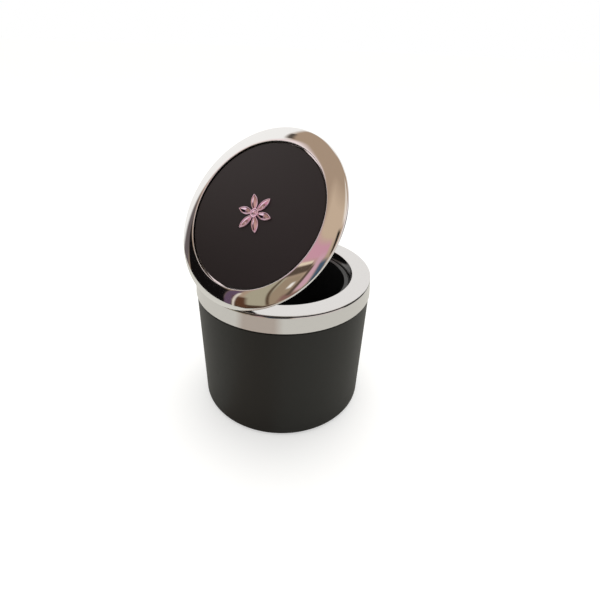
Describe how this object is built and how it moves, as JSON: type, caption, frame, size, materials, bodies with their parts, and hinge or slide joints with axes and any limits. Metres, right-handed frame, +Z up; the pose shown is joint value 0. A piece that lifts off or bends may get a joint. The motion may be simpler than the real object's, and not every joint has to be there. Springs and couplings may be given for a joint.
{
  "type": "car ashtray",
  "caption": "Round cup-holder car ashtray: matte black shell, chrome collar, lift-out bowl and a chrome-rimmed lid on a concealed friction hinge, standing open.",
  "frame": {"origin": "centre of the rubber pad's underside, on the surface that the ashtray stands on", "axes": "+Z up along the axis of the round body; +Y towards the lid's hinge; +X along the hinge pin"},
  "size_m": [0.077, 0.0777, 0.1217],
  "materials": {
    "pad_rubber": "matte moulded",
    "shell_plastic": "fine matte, slightly warm black",
    "gasket_rubber": "matte",
    "collar_chrome": "bright, slightly satin",
    "carrier_plastic": "fine matte",
    "bowl_metal": "satin grey rim, dark inside",
    "hinge_steel": "satin",
    "washer_steel": "satin",
    "bezel_chrome": "polished",
    "panel_plastic": "fine matte, brown-black",
    "emblem_rose_chrome": "polished, rose tinted",
    "liner_plastic": "fine satin",
    "seal_rubber": "matte",
    "screw_steel": "satin"
  },
  "bodies": {
    "base": {"base_pad": "pad_rubber", "outer_shell": "shell_plastic", "collar_gasket": "gasket_rubber", "collar_ring": "collar_chrome", "bowl_carrier": "carrier_plastic", "inner_bowl": "bowl_metal", "hinge_bracket": "hinge_steel", "hinge_pin": "hinge_steel", "friction_washer_left": "washer_steel", "friction_washer_right": "washer_steel", "collar_screw_1": "screw_steel", "collar_screw_2": "screw_steel", "collar_screw_3": "screw_steel", "collar_screw_4": "screw_steel", "bracket_screw_left": "screw_steel", "bracket_screw_right": "screw_steel"},
    "lid": {"lid_bezel": "bezel_chrome", "lid_panel": "panel_plastic", "lid_emblem": "emblem_rose_chrome", "lid_liner": "liner_plastic", "lid_seal": "seal_rubber", "hinge_arm": "hinge_steel", "arm_screw_left": "screw_steel", "arm_screw_right": "screw_steel", "liner_screw_1": "screw_steel", "liner_screw_2": "screw_steel", "liner_screw_3": "screw_steel", "liner_screw_4": "screw_steel"}
  },
  "joints": [
    {"name": "lid_hinge", "type": "hinge", "parent": "base", "child": "lid", "pos_m": [0, 0.03515, 0.06305], "axis": [1, 0, 0], "range_deg": [0, 51.5]}
  ]
}
